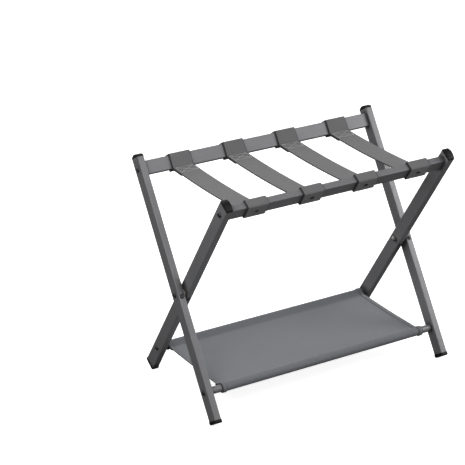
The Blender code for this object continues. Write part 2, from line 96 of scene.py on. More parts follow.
STRAP_WIDTH = 0.050
STRAP_THICKNESS = 0.0026
STRAP_GAP = 0.00080            # between the webbing and the rail
STRAP_EDGE = 0.0005            # rounding of the bound edges
STRAP_SAG = 0.0040             # at the middle of a strap's level run
STRAP_TAIL = 0.034             # sewn under the level run
STRAP_BEND = 0.0021            # radius of the webbing's middle at a rail corner
LAYER_GAP = 0.0002             # between the level run and the tail
RIB_PITCH = 0.0019             # of the webbing, along it
YARN_PITCH = 0.0016            # of the webbing, across it
SELVEDGE = 0.0010              # width of the bound edge, painted dark as shade
BOX_STITCH = (0.041, 0.025)    # across and along the strap
BOX_FROM_RAIL = 0.004

CLOTH_THICKNESS = 0.0008
WARP_PITCH = 0.00070
WEFT_PITCH = 0.00085
HEM_WIDTH = 0.009
HEM_THICKNESS = 0.0024         # three layers of the cloth
SEAM_GAP = 0.008               # from the lower bars to the sleeve seams
SEAM_TAIL = 0.008
SHELF_SAG = 0.005
HEM_PULL = 0.0040              # how much less the hems sag than the middle
SOFT_WAVE = 0.0018
SMALL_FOLD = 0.0006
PUCKER = 0.00035               # of the cloth along the sleeve seams
PUCKER_PITCH = 0.011
PUCKER_SPREAD = 0.006

STITCH = 0.0036                # pitch of the sewing
STRAP_THREAD_RADIUS = 0.00050
SHELF_THREAD_RADIUS = 0.00026

# ---- Places, from the frame ----
PIVOT = Vector(frame["joints"][0]["pos_m"])
FLOOR = cad_box[0][2]


def middle(node):
    """The middle of a node's box at rest."""
    low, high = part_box(node)
    return (low + high) / 2


def size(node):
    """The sides of a node's box at rest."""
    low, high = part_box(node)
    return high - low


RAIL_MIDDLE = middle("back_rail")
LEG_LEAN = math.atan2(RAIL_MIDDLE.y, RAIL_MIDDLE.z - PIVOT.z)
RAIL_REACH = math.hypot(RAIL_MIDDLE.y, RAIL_MIDDLE.z - PIVOT.z)
TUBE_WIDTH = size("outer_leg_left").x
BAR_RADIUS = size("front_bar").z / 2
SHELF_HALF_WIDTH = size("shelf").x / 2
SEAM_Y = middle("back_bar").y - BAR_RADIUS - SEAM_GAP
SIDE = {"outer": 1, "inner": -1}       # the way each frame's top leans: 1 is to the back
AXES = {name: Matrix.Translation(PIVOT) @ Matrix.Rotation(-side * LEG_LEAN, 4, "X")
        for name, side in SIDE.items()}
BODY = {"outer": "outer_frame", "inner": "inner_frame"}


# ---- Shader writing ----
class Value:
    """A shader socket. Arithmetic on it adds Math nodes."""

    def __init__(self, finish, socket):
        self.finish = finish
        self.socket = socket

    def math(self, operation, *others):
        inputs = dict(enumerate((self, *others)))
        return self.finish.node("Math", {"operation": operation}, inputs)

    def __add__(self, other):
        return self.math("ADD", other)

    def __sub__(self, other):
        return self.math("SUBTRACT", other)

    def __rsub__(self, other):
        return self.finish.node("Math", {"operation": "SUBTRACT"}, {0: other, 1: self})

    def __mul__(self, other):
        return self.math("MULTIPLY", other)

    def __truediv__(self, other):
        return self.math("DIVIDE", other)

    def __mod__(self, other):
        return self.math("FLOORED_MODULO", other)

    def __abs__(self):
        return self.math("ABSOLUTE")

    __radd__ = __add__
    __rmul__ = __mul__

    def sin(self):
        return self.math("SINE")

    def floor(self):
        return self.math("FLOOR")

    def step(self, edge, soft):
        """0 below edge, 1 above it, changing over soft."""
        return self.finish.node("MapRange", {"interpolation_type": "SMOOTHSTEP"},
                                {"Value": self, "From Min": edge - soft / 2, "From Max": edge + soft / 2})


class Finish:
    """A material. Its constants sit on the Principled shader's own sockets."""

    def __init__(self, name, **constants):
        self.material = bpy.data.materials.new(name)
        self.material.use_nodes = True
        self.tree = self.material.node_tree
        self.shader = self.tree.nodes["Principled BSDF"]
        self.drive(**constants)

    def plug(self, socket, value):
        if isinstance(value, Value):
            self.tree.links.new(value.socket, socket)
        else:
            socket.default_value = value

    def node(self, kind, settings=None, inputs=None, output=0):
        made = self.tree.nodes.new("ShaderNode" + kind)
        for name, setting in (settings or {}).items():
            setattr(made, name, setting)
        for name, value in (inputs or {}).items():
            self.plug(made.inputs[name], value)
        return Value(self, made.outputs[output])

    def drive(self, **sockets):
        for name, value in sockets.items():
            self.plug(self.shader.inputs[name.replace("_", " ")], value)

    def place(self):
        return self.node("TexCoord", output="Object")

    def part(self, vector, axis):
        return self.node("SeparateXYZ", inputs={"Vector": vector}, output=axis)

    def along(self):
        """Metres across and along a sewn piece, from its own map."""
        flat = self.node("UVMap", {"uv_map": "cut"})
        return self.part(flat, "X"), self.part(flat, "Y")

    def noise(self, scale, detail=2.0, vector=None):
        return self.node("TexNoise", inputs={"Vector": vector or self.place(), "Scale": scale,
                                             "Detail": detail})

    def mix(self, factor, first, second):
        """Mixed colours, as RGB."""
        return self.node("Mix", {"data_type": "RGBA"},
                         {"Factor": factor, 6: (*first, 1.0) if isinstance(first, tuple) else first,
                          7: (*second, 1.0) if isinstance(second, tuple) else second}, output=2)

    def bump(self, height, distance, strength=1.0, normal=None):
        inputs = {"Height": height, "Distance": distance, "Strength": strength}
        if normal is not None:
            inputs["Normal"] = normal
        self.drive(Normal=self.node("Bump", inputs=inputs))


def grey(level, warm=0.0):
    """A grey as RGB, turned a little to yellow by warm."""
    return (level * (1 + warm), level * (1 + warm / 2), level * (1 - warm))


# ---- Finishes ----
COAT_DARK = (0.187, 0.186, 0.194)
COAT_LIGHT = (0.215, 0.214, 0.223)
COAT_FLECK = (0.36, 0.357, 0.362)
# Colour of the painted shade where the coat meets other pieces.
COAT_PAINTED_SHADE = grey(0.030)
PAINTED_SHADE_REACH = 0.022           # how near another piece has to be for painted shade on the coat
EDGE_REACH = 0.0012            # width of the lighter edges: rubbed, and a painted highlight
PLASTIC_BLACK = grey(0.010)
PLASTIC_SCUFF = grey(0.024)
NYLON_DARK = (0.60, 0.58, 0.52)
NYLON_LIGHT = (0.70, 0.68, 0.62)
STEEL_BLACK = grey(0.065)
STEEL_RUBBED = grey(0.19)
ZINC_DARK = grey(0.26, 0.01)
ZINC_LIGHT = grey(0.36, 0.02)
WEBBING_HOLLOW = (0.108, 0.107, 0.110)
WEBBING_YARN = (0.157, 0.155, 0.160)
WEBBING_FUZZ = (0.136, 0.134, 0.138)
WEBBING_STREAK = (0.141, 0.139, 0.143)
WEBBING_EDGE_SHADE = grey(0.006)
CLOTH_HOLLOW = (0.155, 0.162, 0.174)
CLOTH_YARN = (0.205, 0.214, 0.228)
CLOTH_SLUB = (0.170, 0.177, 0.189)
CLOTH_CLOUD = (0.198, 0.206, 0.220)
CLOTH_SLEEVE_SHADE = (0.030, 0.031, 0.033)
CLOTH_CREASE_SHADE = (0.055, 0.057, 0.060)
CLOTH_EDGE_SHADE = (0.040, 0.041, 0.043)


def powder_coat():
    """Satin grey powder coat: orange peel, slight mottling, edges rubbed lighter with a painted highlight, painted
    shade in tucked corners.
    """
    f = Finish("powder_coat_grey", Metallic=0.25, Coat_Weight=0.30, Coat_Roughness=0.22)
    peel = f.noise(850.0, 3.0)
    cloud = f.noise(22.0, 4.0)
    speck = f.noise(2600.0, 1.0).step(0.64, 0.10)
    rounded = f.node("Bevel", {"samples": 6}, {"Radius": EDGE_REACH})
    facing = f.node("NewGeometry", output="Normal")
    edge = 1 - f.node("VectorMath", {"operation": "DOT_PRODUCT"}, {0: rounded, 1: facing}, "Value")
    # Edges rubbed lighter in patches; the lightening also stands in for a highlight line along the edges, a
    # painted highlight.
    worn_and_highlight = edge.step(0.12, 0.16) * f.noise(140.0, 3.0).step(0.50, 0.30)
    # Painted shade: the coat goes dark where other pieces are near, standing in for corner shadow.
    open_side = f.node("AmbientOcclusion", {"samples": 8}, {"Distance": PAINTED_SHADE_REACH}, "AO")
    painted_corner_shade = (1 - open_side).step(0.24, 0.28)
    coat = f.mix(cloud, COAT_DARK, COAT_LIGHT)
    coat = f.mix(speck * 0.35, coat, COAT_FLECK)
    coat = f.mix(painted_corner_shade * 0.80, coat, COAT_PAINTED_SHADE)
    f.drive(Base_Color=f.mix(worn_and_highlight * 0.45, coat, COAT_FLECK),
            Roughness=0.40 + 0.10 * cloud - 0.10 * worn_and_highlight)
    f.bump(peel, 0.00010, 0.35, rounded)
    return f.material


def black_plastic():
    """Moulded black plastic with a fine spark texture."""
    f = Finish("moulded_black_plastic", Specular_IOR_Level=0.22)
    grain = f.noise(1900.0, 2.0)
    scuff = f.noise(60.0, 5.0).step(0.60, 0.16)
    f.drive(Base_Color=f.mix(scuff * 0.5, PLASTIC_BLACK, PLASTIC_SCUFF), Roughness=0.46 + 0.14 * scuff)
    f.bump(grain, 0.00008, 0.5)
    return f.material


def nylon():
    """Undyed moulded nylon, inside the tubes."""
    f = Finish("natural_nylon", Roughness=0.5)
    flow = f.noise(90.0, 4.0)
    f.drive(Base_Color=f.mix(flow, NYLON_DARK, NYLON_LIGHT))
    f.bump(flow, 0.0001, 0.4)
    return f.material


def blackened_steel():
    """Blackened steel fasteners, rubbed a little brighter on the high spots."""
    f = Finish("blackened_steel", Metallic=0.85)
    rub = f.noise(380.0, 4.0).step(0.58, 0.22)
    f.drive(Base_Color=f.mix(rub * 0.6, STEEL_BLACK, STEEL_RUBBED), Roughness=0.34 + 0.18 * rub)
    f.bump(f.noise(1500.0), 0.00005, 0.4)
    return f.material


def zinc_plate():
    """Dull zinc plate on the cap nuts, with a faint haze."""
    f = Finish("zinc_plate", Metallic=1.0)
    haze = f.noise(420.0, 3.0)
    f.drive(Base_Color=f.mix(haze, ZINC_DARK, ZINC_LIGHT), Roughness=0.22 + 0.16 * haze)
    f.bump(f.noise(2400.0), 0.00004, 0.35)
    return f.material


def webbing():
    """Flat woven webbing: ribs across, yarns along in a staggered weave, and painted shade on the bound edges."""
    f = Finish("grey_webbing", Sheen_Weight=0.15, Sheen_Roughness=0.5)
    across, along = f.along()
    yarns = across / YARN_PITCH
    ribs = along / RIB_PITCH
    shift = (yarns.floor() % 2) * 0.5
    rib = abs((math.pi * (ribs + shift)).sin())
    yarn = abs((math.pi * yarns).sin())
    weave = rib * (0.55 + 0.45 * yarn)
    fuzz = f.noise(1300.0, 3.0)
    drawn_out = f.node("CombineXYZ", inputs={"X": across * 9.0, "Y": along, "Z": 0.0})
    streak = f.noise(30.0, 3.0, drawn_out)
    # Painted shade: the bound edges are darkened as if the strap's thick sides fell in shadow.
    painted_edge_shade = abs(across).step(STRAP_WIDTH / 2 - SELVEDGE, 0.0006)
    cloth = f.mix(weave, WEBBING_HOLLOW, WEBBING_YARN)
    cloth = f.mix(0.35 * fuzz, cloth, WEBBING_FUZZ)
    cloth = f.mix(0.5 * streak, cloth, WEBBING_STREAK)
    f.drive(Base_Color=f.mix(0.95 * painted_edge_shade, cloth, WEBBING_EDGE_SHADE), Roughness=0.74 + 0.16 * fuzz)
    f.bump(weave + 0.25 * fuzz, 0.00034, 0.6)
    return f.material


def shelf_cloth():
    """Fine plain weave, cool grey, with painted shade on the sleeves, in the hem's crease and along the cut edge.
    """
    f = Finish("grey_shelf_cloth", Sheen_Weight=0.10, Sheen_Roughness=0.4)
    across, along = f.along()
    warp = (across * (math.pi / WARP_PITCH)).sin()
    weft = (along * (math.pi / WEFT_PITCH)).sin()
    weave = abs(warp * weft)
    slub = f.noise(260.0, 3.0)
    cloud = f.noise(9.0, 3.0)
    inside = SHELF_HALF_WIDTH - abs(across)
    # Painted shade: a dark line just inside the hem, where the hem's step throws a shadow.
    painted_crease_shade = (1 - abs(inside - HEM_WIDTH - 0.0004) / 0.0016).step(0.35, 0.6)
    # Painted shade: a thin dark line along the cut edge.
    edge = 1 - inside.step(0.0010, 0.0012)
    from_middle = abs(along - lengths_of(shelf_path())[-1] / 2)
    # Painted shade: the sleeves round the bars are darkened.
    painted_sleeve_shade = from_middle.step(SEAM_Y, 0.004)
    cloth = f.mix(weave, CLOTH_HOLLOW, CLOTH_YARN)
    cloth = f.mix(0.4 * slub, cloth, CLOTH_SLUB)
    cloth = f.mix(0.35 * cloud, cloth, CLOTH_CLOUD)
    cloth = f.mix(0.18 * painted_sleeve_shade, cloth, CLOTH_SLEEVE_SHADE)
    cloth = f.mix(0.42 * painted_crease_shade, cloth, CLOTH_CREASE_SHADE)
    f.drive(Base_Color=f.mix(0.75 * edge, cloth, CLOTH_EDGE_SHADE), Roughness=0.66 + 0.16 * slub)
    f.bump(weave + 0.4 * slub, 0.00022, 0.7)
    return f.material


def thread(name, level):
    """Twisted sewing thread."""
    f = Finish(name, Roughness=0.6, Sheen_Weight=0.2)
    twist = f.noise(2500.0, 2.0)
    f.drive(Base_Color=f.mix(twist, grey(level * 0.8), grey(level * 1.15)))
    f.bump(twist, 0.00008, 0.6)
    return f.material


def floor_paint():
    """A pale sweep, lit from within so that shadows on it stay faint."""
    f = Finish("pale_floor", Roughness=0.9, Emission_Color=(1, 1, 1, 1), Emission_Strength=FLOOR_GLOW)
    f.drive(Base_Color=f.mix(f.noise(0.8, 2.0), FLOOR_DARK, FLOOR_LIGHT))
    f.material.cycles.emission_sampling = "NONE"
    return f.material


def finish_cad_nodes():
    """Every node of the frame takes the finish of its material slot."""
    for part in frame["record"]["subparts"]:
        node = frame["nodes"][part["node"]]
        node.data.materials.clear()
        node.data.materials.append(FINISHES[part["material_slot"]])


# ---- Mesh helpers ----
def add_piece(name, bm, material, matrix=None, smooth_angle=180):
    """A visible piece from a mesh, smooth but for the edges sharper than smooth_angle."""
    bmesh.ops.recalc_face_normals(bm, faces=bm.faces)
    mesh = bpy.data.meshes.new(name)
    if matrix is not None:
        bm.transform(matrix)
    bm.to_mesh(mesh)
    bm.free()
    mesh.shade_smooth()
    if smooth_angle < 180:
        mesh.set_sharp_from_angle(angle=math.radians(smooth_angle))
    mesh.materials.append(material)
    piece = bpy.data.objects.new(name, mesh)
    bpy.context.scene.collection.objects.link(piece)
    return piece


def ring(bm, points):
    return [bm.verts.new(point) for point in points]


def skin(bm, first, second):
    """Faces between two closed loops of equal counts."""
    count = len(first)
    return [bm.faces.new((first[k], first[(k + 1) % count], second[(k + 1) % count], second[k]))
            for k in range(count)]


def close_loops(bm, loops):
    """Skins from each loop to the next, with a face over the first and the last."""
    for first, second in zip(loops, loops[1:]):
        skin(bm, first, second)
    bm.faces.new(loops[0])
    bm.faces.new(loops[-1])


def loft(rings):
    """A closed solid through rings of equal counts of points."""
    bm = bmesh.new()
    close_loops(bm, [ring(bm, points) for points in rings])
    return bm


def round_ring(radius, height, limit=None):
    """A ring of FINE points. A limit makes it a hexagon, limit from its middle to each flat."""
    points = []
    for k in range(FINE):
        angle = 2 * math.pi * k / FINE
        reach = radius
        if limit is not None:
            off = (angle + math.pi / 6) % (math.pi / 3) - math.pi / 6
            reach = min(radius, limit / math.cos(off))
        points.append((reach * math.cos(angle), reach * math.sin(angle), height))
    return points


def rounded_ring(width, depth, radius, height, steps=6):
    """A rectangular ring with rounded corners."""
    points = []
    for corner, (sx, sy) in enumerate(((1, 1), (-1, 1), (-1, -1), (1, -1))):
        for k in range(steps + 1):
            angle = math.pi / 2 * (corner + k / steps)
            points.append((sx * (width / 2 - radius) + radius * math.cos(angle),
                           sy * (depth / 2 - radius) + radius * math.sin(angle), height))
    return points


# ---- Fasteners ----
def button_head(form, length):
    """A button-head bolt with a hex socket; its seat at Z = 0 and its shank down -Z."""
    head, shank, tall = form["head"] / 2, form["shank"] / 2, form["height"]
    socket = form["socket"] / 2
    socket_corner = socket * 1.15
    mouth = socket * 1.20
    soft = 0.0002
    tip = 0.0006
    rings = [round_ring(shank - tip, -length), round_ring(shank, tip - length), round_ring(shank, 0.0),
             round_ring(head - soft, 0.0), round_ring(head, soft), round_ring(head, HEAD_RIM)]
    for k in range(1, 8):
        turn = math.pi / 2 * k / 8
        rings.append(round_ring(mouth + (head - mouth) * math.cos(turn),
                                HEAD_RIM + (tall - HEAD_RIM) * math.sin(turn)))
    rings += [round_ring(mouth, tall), round_ring(socket_corner, tall - soft, socket),
              round_ring(socket_corner, tall * 0.35, socket), round_ring(socket * 0.6, tall * 0.30)]
    return loft(rings)


def cap_nut():
    """A domed cap nut with chamfered corners, its seat at Z = 0 and a blind bore."""
    flat = NUT_ACROSS_FLATS / 2
    corner = flat / math.cos(math.pi / 6)
    shoulder = flat * 0.86
    bore = NUT_BORE_RADIUS
    top = NUT_HEX_HEIGHT
    brim = top + 0.0003
    rings = [round_ring(bore * 0.4, top), round_ring(bore, top * 0.96), round_ring(bore, 0.0),
             round_ring(flat * 0.96, 0.0, flat),
             round_ring(corner, 0.0005, flat), round_ring(corner, top - 0.0006, flat),
             round_ring(flat * 0.97, top, flat), round_ring(shoulder, brim)]
    for k in range(1, 9):
        turn = math.pi / 2 * k / 9
        rings.append(round_ring(shoulder * math.cos(turn), brim + NUT_DOME * math.sin(turn)))
    return loft(rings)


def outward(node):
    """The side that a fastener lying along X is on, 1 or -1, and the turn that takes Z out there."""
    side = 1 if middle(node).x > 0 else -1
    return side, Matrix.Rotation(side * math.pi / 2, 4, "Y")


def fit_side_bolt(node, body):
    """A frame bolt along X, with its head where the node's outer end is."""
    low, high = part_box(node)
    side, turn = outward(node)
    head_end = high.x if side > 0 else low.x
    seat = head_end - side * FRAME_BOLT["height"]
    centre = middle(node)
    bm = button_head(FRAME_BOLT, size(node).x - FRAME_BOLT["height"])
    bolt = add_piece(node + "_fine", bm, FINISHES["black_steel"],
                     Matrix.Translation((seat, centre.y, centre.z)) @ turn, 40)
    show_instead(bolt, node, body)


def fit_cap_nut(node, body):
    """A cap nut along X, seated on the node's outer end with its dome to the rack's middle."""
    low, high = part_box(node)
    side, turn = outward(node)
    seat = high.x if side > 0 else low.x
    centre = middle(node)
    dome_inward = turn @ Matrix.Rotation(math.pi, 4, "X")
    nut = add_piece(node + "_fine", cap_nut(), FINISHES["zinc_steel"],
                    Matrix.Translation((seat, centre.y, centre.z)) @ dome_inward, 32)
    show_instead(nut, node, body)


def show_instead(piece, node, body):
    """The piece stands for the node, and rides where it rode."""
    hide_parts(node)
    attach(piece, body)


def fit_face_screw(node, body, outward_normal):
    """A small screw whose head faces along outward_normal."""
    corners = [Vector(v.co) for v in frame["nodes"][node].data.vertices]
    reach = [corner.dot(outward_normal) for corner in corners]
    centre = middle(node)
    top = centre + outward_normal * (max(reach) - centre.dot(outward_normal))
    seat = top - outward_normal * SMALL_SCREW["height"]
    turn = outward_normal.to_track_quat("Z", "Y").to_matrix().to_4x4()
    bm = button_head(SMALL_SCREW, max(reach) - min(reach) - SMALL_SCREW["height"])
    screw = add_piece(node + "_fine", bm, FINISHES["black_steel"], Matrix.Translation(seat) @ turn, 40)
    show_instead(screw, node, body)


# ---- End caps ----
def ends_of(node, frame_name):
    """Lowest and highest place of a node along its own frame's legs."""
    to_leg = AXES[frame_name].inverted()
    heights = [(to_leg @ v.co).z for v in frame["nodes"][node].data.vertices]
    return min(heights), max(heights)


def add_plug(bm, seat, sign):
    """The part of a cap inside the tube, with two shallow ribs."""
    steps = ((-1.0, 0.0010), (-0.96, 0.0003), (-0.70, 0.0003), (-0.66, 0.0), (-0.60, 0.0003),
             (-0.30, 0.0003), (-0.26, 0.0), (-0.20, 0.0003), (0.05, 0.0003))
    loops = []
    for share, inset in steps:
        width = TUBE_WIDTH - PLUG_SLACK - 2 * inset
        depth = TUBE_DEPTH - PLUG_SLACK - 2 * inset
        loops.append(ring(bm, rounded_ring(width, depth, PLUG_CORNER, seat + sign * share * CAP_PLUG)))
    close_loops(bm, loops)


def crown_profile(seat, half_depth, drop):
    """Side view of a top cap in its leg's own (y, z): crowned from front to back."""
    points = [(-half_depth, seat), (-half_depth, seat + CAP_EDGE * 0.45)]
    for k in range(29):
        share = 2 * k / 28 - 1
        shoulder = 0.0009 * max(0.0, (abs(share) - 0.88) / 0.12) ** 2
        crown = CAP_EDGE + CAP_CROWN * (1 - share * share)
        points.append((share * half_depth, seat + crown - shoulder - drop))
    points += [(half_depth, seat + CAP_EDGE * 0.45), (half_depth, seat)]
    return points


def fit_top_cap(node, frame_name):
    """A moulded cap, crowned from front to back, on the open end of a leg."""
    seat = ends_of(node, frame_name)[1] - CAP_EDGE - CAP_CROWN
    bm = bmesh.new()
    loops = []
    for side in (-1, 1):
        turns = range(7) if side < 0 else range(6, -1, -1)
        for k in turns:
            turn = math.pi / 2 * k / 6
            x = side * (TUBE_WIDTH / 2 - CAP_SOFT + CAP_SOFT * math.cos(turn))
            fall = CAP_SOFT * (1 - math.sin(turn))
            profile = crown_profile(seat, TUBE_DEPTH / 2 - fall * 0.8, fall * 0.55)
            loops.append([bm.verts.new((x, y, z)) for y, z in profile])
    close_loops(bm, loops)
    add_plug(bm, seat, 1)
    cap = add_piece(node + "_moulding", bm, FINISHES["black_plastic"],
                    AXES[frame_name] @ Matrix.Translation((middle(node).x, 0, 0)), 38)
    show_instead(cap, node, BODY[frame_name])


def fit_foot_cap(node, frame_name):
    """A moulded foot: plug, a boot that laps over the tube's end and a flat sole on the floor."""
    axes = AXES[frame_name]
    seat = ends_of(node, frame_name)[1] - CAP_PLUG
    lip = seat + BOOT_LAP
    bore_wide, bore_deep = TUBE_WIDTH + 2 * BOOT_FIT, TUBE_DEPTH + 2 * BOOT_FIT
    wide, deep = TUBE_WIDTH + 2 * BOOT_WALL, TUBE_DEPTH + 2 * BOOT_WALL
    corner = TUBE_CORNER + BOOT_WALL
    rings = [rounded_ring(TUBE_WIDTH - PLUG_SLACK, TUBE_DEPTH - PLUG_SLACK, PLUG_CORNER, seat),
             rounded_ring(bore_wide, bore_deep, TUBE_CORNER, seat),
             rounded_ring(bore_wide, bore_deep, TUBE_CORNER, lip),
             rounded_ring(wide - BOOT_WALL * 0.5, deep - BOOT_WALL * 0.5, TUBE_CORNER, lip),
             rounded_ring(wide, deep, corner, lip - 0.0003)]
    for k in range(8):
        turn = math.pi / 2 * k / 7.3
        inset = BOOT_SWELL * (1 - math.cos(turn))
        rings.append(rounded_ring(wide - 2 * inset, deep - 2.6 * inset, corner,
                                  seat - CAP_HEAD * (0.35 + 0.65 * math.sin(turn))))
    bm = loft(rings)
    down = (axes.to_3x3().inverted() @ Vector((0, 0, -1))).normalized()
    floor = axes.inverted() @ Vector((0, 0, 0.00002))
    cut = bmesh.ops.bisect_plane(bm, geom=bm.verts[:] + bm.edges[:] + bm.faces[:], dist=1e-7,
                                 plane_co=floor, plane_no=down, clear_outer=True)
    rim = [item for item in cut["geom_cut"] if isinstance(item, bmesh.types.BMEdge)]
    bmesh.ops.edgeloop_fill(bm, edges=rim)
    add_plug(bm, seat, -1)
    cap = add_piece(node + "_moulding", bm, FINISHES["black_plastic"],
                    axes @ Matrix.Translation((middle(node).x, 0, 0)), 38)
    show_instead(cap, node, BODY[frame_name])


# ---- Straps ----
def rail_point(side, across, along):
    """A point on a leg in (y, z): along it from the pivot and across it to the inside."""
    return Vector((side * (along * math.sin(LEG_LEAN) - across * math.cos(LEG_LEAN)),
                   PIVOT.z + along * math.cos(LEG_LEAN) + across * math.sin(LEG_LEAN)))


def round_corners(points, radius, steps=5):
    """A (y, z) path with its inner corners rounded off."""
    path = [points[0]]
    for before, corner, after in zip(points, points[1:], points[2:]):
        into, out = (corner - before).normalized(), (after - corner).normalized()
        turn = into.angle(out, 0.0)
        if turn < 0.02:
            path.append(corner)
            continue
        reach = min(radius * math.tan(turn / 2), (corner - before).length * 0.45,
                    (after - corner).length * 0.45)
        start, end = corner - into * reach, corner + out * reach
        for k in range(steps + 1):
            t = k / steps
            path.append(start * (1 - t) ** 2 + corner * 2 * t * (1 - t) + end * t ** 2)
    path.append(points[-1])
    return path


def strap_half(side):
    """Tail, under the rail, up its outer face, over it and down its inner face to the level run."""
    reach = TUBE_WIDTH / 2 + STRAP_GAP + STRAP_THICKNESS / 2
    bottom = RAIL_REACH - TUBE_DEPTH / 2 - STRAP_GAP - STRAP_THICKNESS / 2
    top = RAIL_REACH + TUBE_DEPTH / 2 + STRAP_GAP + STRAP_THICKNESS / 2
    edge = rail_point(side, TUBE_WIDTH / 2, RAIL_REACH - TUBE_DEPTH / 2)
    run = edge.y + STRAP_THICKNESS / 2 + LAYER_GAP / 2
    tail = run - STRAP_THICKNESS - LAYER_GAP
    tail_across = (tail - PIVOT.z - bottom * math.cos(LEG_LEAN)) / math.sin(LEG_LEAN)
    run_along = (run - PIVOT.z - reach * math.sin(LEG_LEAN)) / math.cos(LEG_LEAN)
    under = rail_point(side, tail_across, bottom)
    return [Vector((under.x - side * STRAP_TAIL, tail)), under, rail_point(side, -reach, bottom),
            rail_point(side, -reach, top), rail_point(side, reach, top), rail_point(side, reach, run_along)]


def even_out(path, step):
    """The path with long straight runs split into short steps."""
    fine = [path[0]]
    for before, after in zip(path, path[1:]):
        count = max(1, math.ceil((after - before).length / step))
        fine += [before.lerp(after, (k + 1) / count) for k in range(count)]
    return fine


def normals_of(path):
    """The way the upper face looks at each point of a (y, z) path."""
    normals = []
    for k in range(len(path)):
        heading = path[min(k + 1, len(path) - 1)] - path[max(k - 1, 0)]
        heading.normalize()
        normals.append(Vector((-heading.y, heading.x)))
    return normals


def lengths_of(path):
    """How far along the path each of its points is."""
    total, lengths = 0.0, [0.0]
    for before, after in zip(path, path[1:]):
        total += (after - before).length
        lengths.append(total)
    return lengths


def webbing_outline():
    """(across, height) points round the webbing: flat faces and firm bound edges."""
    half, thick = STRAP_WIDTH / 2, STRAP_THICKNESS / 2
    points = []
    for side in (1, -1):
        for end in (-1, 1):
            for k in range(4):
                turn = math.pi / 2 * (k / 3 + (end - 1) / 2)
                points.append((side * (half - STRAP_EDGE * (1 - math.cos(turn))),
                               side * (end * (thick - STRAP_EDGE) + STRAP_EDGE * math.sin(turn))))
        for k in range(1, 12):
            points.append((side * (half - STRAP_EDGE) * (1 - k / 6), side * thick))
    return points


def sweep(path, outline):
    """A solid strip: the outline carried along a (y, z) path, with its cut length in a map."""
    bm = bmesh.new()
    cut = bm.loops.layers.uv.new("cut")
    normals, lengths = normals_of(path), lengths_of(path)
    loops, place = [], {}
    for point, normal, length in zip(path, normals, lengths):
        loop = []
        for across, height in outline:
            spot = point + normal * height
            vert = bm.verts.new((across, spot.x, spot.y))
            place[vert] = (across, length)
            loop.append(vert)
        loops.append(loop)
    close_loops(bm, loops)
    for face in bm.faces:
        for corner in face.loops:
            corner[cut].uv = place[corner.vert]
    return bm


def add_stitch(bm, centre, heading, normal, length, radius):
    """One stitch: a short thread, tapered where it dives into the cloth."""
    side = heading.cross(normal).normalized()
    steps = ((-0.5, 0.30, -0.5), (-0.28, 0.95, 0.2), (0.28, 0.95, 0.2), (0.5, 0.30, -0.5))
    loops = []
    for share, thick, lift in steps:
        loop = []
        for k in range(6):
            turn = 2 * math.pi * k / 6
            loop.append(bm.verts.new(centre + heading * length * share + normal * radius * lift
                                     + (side * math.cos(turn) + normal * math.sin(turn)) * radius * thick))
        loops.append(loop)
    close_loops(bm, loops)


def sew_line(bm, start, end, normal, radius=STRAP_THREAD_RADIUS, pitch=STITCH):
    """A straight row of stitches."""
    run = end - start
    count = max(1, round(run.length / pitch))
    heading = run.normalized()
    for k in range(count):
        centre = start + run * (k + 0.5) / count
        add_stitch(bm, centre, heading, normal, run.length / count * 0.86, radius)


def box_stitch(bm, x, y, top, normal):
    """A sewn box with a cross in it, centred at (x, y)."""
    wide, deep = BOX_STITCH[0] / 2, BOX_STITCH[1] / 2
    corner = [Vector((x - wide, y - deep, top)), Vector((x + wide, y - deep, top)),
              Vector((x + wide, y + deep, top)), Vector((x - wide, y + deep, top))]
    for k in range(4):
        sew_line(bm, corner[k], corner[(k + 1) % 4], normal)
    sew_line(bm, corner[0], corner[2], normal)
    sew_line(bm, corner[1], corner[3], normal)


def strap_sag(y, edge):
    """How far a strap, and what is sewn to it, hangs below level at y."""
    return STRAP_SAG * max(0.0, 1 - (y / edge) ** 2)


def add_strap(number):
    """Webbing round both rails, and its sewing."""
    node = f"strap_{number}"
    x = middle(node).x
    back = strap_half(1)
    front = strap_half(-1)
    edge, run_height = back[-1]
    level = even_out(round_corners(back + front[::-1], STRAP_BEND), 0.006)
    path = [Vector((point.x, point.y - strap_sag(point.x, edge))) for point in level]
    strap = add_piece(f"strap_{number}_webbing", sweep(path, webbing_outline()), FINISHES["webbing"],
                      Matrix.Translation((x, 0, 0)), 60)
    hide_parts(node)
    bm = bmesh.new()
    top = run_height + STRAP_THICKNESS / 2
    under = run_height - STRAP_THICKNESS * 1.5 - LAYER_GAP
    for side in (1, -1):
        y = side * (edge - BOX_FROM_RAIL - BOX_STITCH[1] / 2)
        box_stitch(bm, x, y, top, Vector((0, 0, 1)))
        box_stitch(bm, x, y, under, Vector((0, 0, -1)))
    for vert in bm.verts:
        vert.co.z -= strap_sag(vert.co.y, edge)
    sewing = add_piece(f"strap_{number}_sewing", bm, STRAP_THREAD)
    for piece in (strap, sewing):
        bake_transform(piece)


# ---- Shelf ----
def arc(centre, radius, start, end, steps):
    """Points of an arc, both ends among them."""
    points = []
    for k in range(steps + 1):
        turn = start + (end - start) * k / steps
        points.append(centre + Vector((radius * math.cos(turn), radius * math.sin(turn))))
    return points


def shelf_sleeve(bar):
    """From the seam over the back bar, round it and back to the sewn tail, in (y, z)."""
    inset = BAR_RADIUS + SEAM_GAP
    radius = BAR_RADIUS + 0.0007 + CLOTH_THICKNESS / 2
    lay = CLOTH_THICKNESS / 2 + 0.00025
    tangent = math.acos(radius / inset)
    seam = Vector((bar.x - inset, bar.y))
    upper = seam + Vector((0, lay))
    lower = seam - Vector((0, lay))
    tail = seam - Vector((SEAM_TAIL, lay + 0.0004))
    return [upper] + arc(bar, radius, math.pi - tangent, tangent - math.pi, 30) + [lower, tail]


